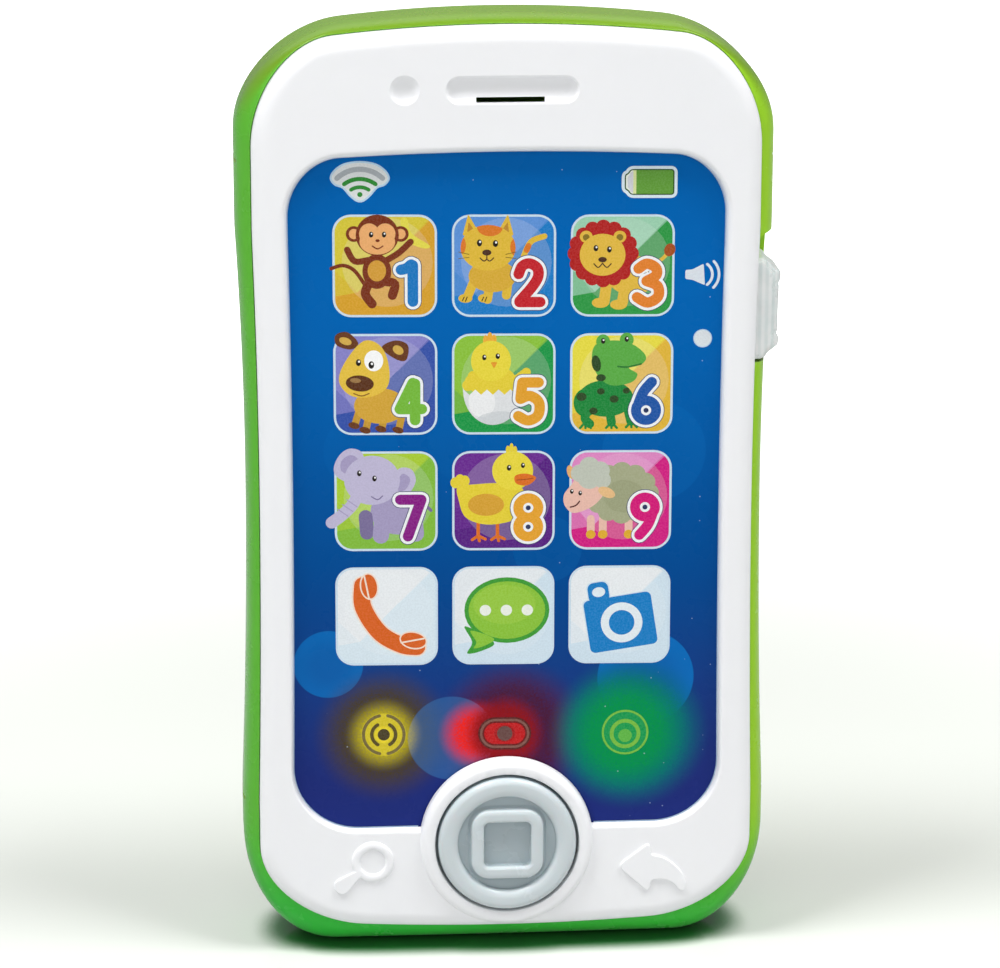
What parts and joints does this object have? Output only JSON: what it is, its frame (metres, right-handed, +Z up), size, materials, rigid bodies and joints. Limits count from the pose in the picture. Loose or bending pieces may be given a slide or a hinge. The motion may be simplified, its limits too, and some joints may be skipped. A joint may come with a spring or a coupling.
{
  "type": "toy cell phone",
  "caption": "Upright toy cell phone with a printed number screen, a raised round home button, a side slide switch and a battery door at the back.",
  "frame": {"origin": "on the flat underside, midway across the body, where the mould's widest band rests on the table", "axes": "+Z up along the phone's height, +X to the right seen from the front, +Y towards the back, so the screen looks along -Y"},
  "size_m": [0.0894, 0.028, 0.1583],
  "materials": {
    "green_plastic": "satin gloss moulded plastic",
    "white_plastic": "gloss moulded plastic",
    "printed_film": "printed film with a clear gloss face",
    "grey_plastic": "gloss moulded plastic",
    "frosted_plastic": "translucent moulded plastic",
    "milky_plastic": "milky diffusing plastic",
    "black_plastic": "matte black",
    "circuit_board": "green solder mask",
    "silicone_rubber": "matte silicone",
    "epoxy_resin": "glossy black resin",
    "plated_steel": "nickel plated",
    "ferrite": "dark sintered",
    "paper_cone": "pressed paper",
    "foam_rubber": "matte foam",
    "cell_sleeve": "printed metallic sleeve",
    "ribbon_sleeve": "flat cable sleeve",
    "led_yellow_lens": "tinted clear lens",
    "led_red_lens": "tinted clear lens",
    "led_green_lens": "tinted clear lens",
    "red_wire_sleeve": "soft sleeve",
    "black_wire_sleeve": "soft sleeve"
  },
  "bodies": {
    "casing": {"rear_shell": "green_plastic", "front_bezel": "white_plastic", "screen_film": "printed_film", "screen_support_plate": "milky_plastic", "touch_sensor_board": "circuit_board", "touch_ribbon_cable": "ribbon_sleeve", "light_shield": "white_plastic", "led_yellow": "led_yellow_lens", "led_red": "led_red_lens", "led_green": "led_green_lens", "button_return_dome": "silicone_rubber", "main_circuit_board": "circuit_board", "sound_chip": "epoxy_resin", "smoothing_capacitor": "black_plastic", "case_screw_1": "plated_steel", "case_screw_2": "plated_steel", "case_screw_3": "plated_steel", "case_screw_4": "plated_steel", "board_screw_1": "plated_steel", "board_screw_2": "plated_steel", "slide_switch_body": "plated_steel", "slide_switch_board": "circuit_board", "speaker_frame": "plated_steel", "speaker_magnet": "ferrite", "speaker_surround": "foam_rubber", "battery_cell_1": "cell_sleeve", "battery_cell_2": "cell_sleeve", "battery_cell_3": "cell_sleeve", "battery_contact_negative": "plated_steel", "battery_contact_bridge_low": "plated_steel", "battery_contact_bridge_high": "plated_steel", "battery_contact_positive": "plated_steel", "battery_wire_red": "red_wire_sleeve", "battery_wire_black": "black_wire_sleeve", "speaker_wire_red": "red_wire_sleeve", "speaker_wire_black": "black_wire_sleeve"},
    "home_button": {"home_button": "grey_plastic"},
    "slide_knob": {"slide_knob": "frosted_plastic"},
    "switch_lever": {"slide_switch_lever": "black_plastic"},
    "speaker_cone": {"speaker_cone": "paper_cone"},
    "battery_door": {"battery_door": "green_plastic"},
    "battery_door_screw": {"battery_door_screw": "plated_steel"}
  },
  "joints": [
    {"name": "home_button_press", "type": "slide", "parent": "casing", "child": "home_button", "axis": [0, 1, 0], "range_m": [0, 0.0009], "stiffness_N_per_m": 500, "deforming": ["button_return_dome"]},
    {"name": "power_slide", "type": "slide", "parent": "casing", "child": "slide_knob", "axis": [0, 0, 1], "range_m": [0, 0.003]},
    {"name": "switch_lever_slide", "type": "slide", "parent": "casing", "child": "switch_lever", "axis": [0, 0, 1], "range_m": [0, 0.003]},
    {"name": "speaker_cone_travel", "type": "slide", "parent": "casing", "child": "speaker_cone", "axis": [0, 1, 0], "range_m": [-0.0003, 0.0003], "deforming": ["speaker_surround"]},
    {"name": "battery_door_lift", "type": "slide", "parent": "casing", "child": "battery_door", "axis": [0, 1, 0], "range_m": [0, 0.015]},
    {"name": "door_screw_turn", "type": "hinge", "parent": "battery_door", "child": "battery_door_screw", "pos_m": [0, 0.0115, 0.0942], "axis": [0, 1, 0], "continuous": true}
  ],
  "couplings": [
    {"joint": "switch_lever_slide", "follows": "power_slide", "ratio": 1}
  ]
}
